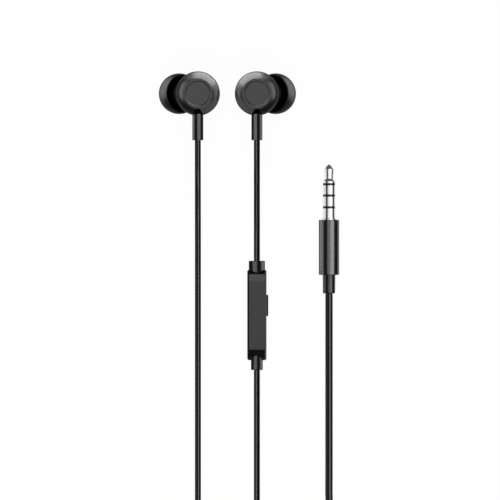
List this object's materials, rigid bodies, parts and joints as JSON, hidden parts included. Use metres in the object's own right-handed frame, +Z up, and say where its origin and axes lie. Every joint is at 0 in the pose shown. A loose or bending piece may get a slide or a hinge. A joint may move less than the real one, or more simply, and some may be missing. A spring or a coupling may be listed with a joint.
{
  "type": "wired earphones",
  "caption": "Black wired in-ear earphones with angled silicone tips, bell-shaped housings, an in-line button remote and a four-pole 3.5 mm plug.",
  "frame": {"origin": "on the surface that the set lies on, midway between the two earbuds in X and in Y", "axes": "+X from the left earbud to the right one, +Y away from the cords, +Z up; the housings' faces look up"},
  "size_m": [0.06, 0.1902, 0.018],
  "materials": {
    "shell": "satin black moulding",
    "cap": "fine satin trim cap",
    "mesh": "perforated steel",
    "silicone": "soft silicone",
    "sleeve": "smooth elastomer",
    "inner_plastic": "plain moulding",
    "steel": "nickel plated",
    "copper": "enamelled copper winding",
    "film": "thin polymer film",
    "remote_plastic": "fine satin black moulding",
    "button": "satin black",
    "board": "solder mask",
    "barrel": "black anodised",
    "contacts": "polished nickel",
    "insulator": "black resin",
    "jacket": "smooth elastomer jacket",
    "tie": "hook and loop tape"
  },
  "bodies": {
    "root": {"left_back_shell": "shell", "left_face_cap": "cap", "left_front_shell": "shell", "left_nozzle_mesh": "mesh", "left_stem_sleeve": "sleeve", "left_driver_frame": "inner_plastic", "left_driver_yoke": "steel", "left_driver_magnet": "steel", "left_pole_plate": "steel", "left_voice_coil": "copper", "left_diaphragm": "film", "right_back_shell": "shell", "right_face_cap": "cap", "right_front_shell": "shell", "right_nozzle_mesh": "mesh", "right_stem_sleeve": "sleeve", "right_driver_frame": "inner_plastic", "right_driver_yoke": "steel", "right_driver_magnet": "steel", "right_pole_plate": "steel", "right_voice_coil": "copper", "right_diaphragm": "film", "remote_front_shell": "remote_plastic", "remote_back_shell": "remote_plastic", "remote_board": "board", "remote_switch": "steel", "remote_microphone": "steel", "remote_upper_sleeve": "sleeve", "remote_lower_sleeve": "sleeve", "plug_barrel": "barrel", "plug_core": "inner_plastic", "plug_tip": "contacts", "plug_front_ring": "contacts", "plug_rear_ring": "contacts", "plug_ground": "contacts", "plug_insulator": "insulator", "plug_relief": "sleeve", "splitter_body": "remote_plastic", "splitter_relief": "sleeve", "left_cord": "jacket", "left_cord_coil": "jacket", "left_cord_tail": "jacket", "right_cord_upper": "jacket", "right_cord_lower": "jacket", "right_cord_coil": "jacket", "right_cord_tail": "jacket", "main_cord": "jacket", "main_cord_coil": "jacket", "main_cord_tail": "jacket", "left_coil_tie": "tie", "right_coil_tie": "tie", "main_coil_tie": "tie"},
    "left_ear_tip": {"left_ear_tip": "silicone"},
    "right_ear_tip": {"right_ear_tip": "silicone"},
    "remote_button": {"remote_button": "button"}
  },
  "joints": [
    {"name": "left_ear_tip_pull", "type": "slide", "parent": "root", "child": "left_ear_tip", "axis": [-0.5225, 0, -0.8526], "range_m": [0, 0.006]},
    {"name": "right_ear_tip_pull", "type": "slide", "parent": "root", "child": "right_ear_tip", "axis": [0.5225, 0, -0.8526], "range_m": [0, 0.006]},
    {"name": "button_press", "type": "slide", "parent": "root", "child": "remote_button", "axis": [-1, 0, 0], "range_m": [0, 0.0003], "stiffness_N_per_m": 1500, "springref_m": -0.0004}
  ]
}
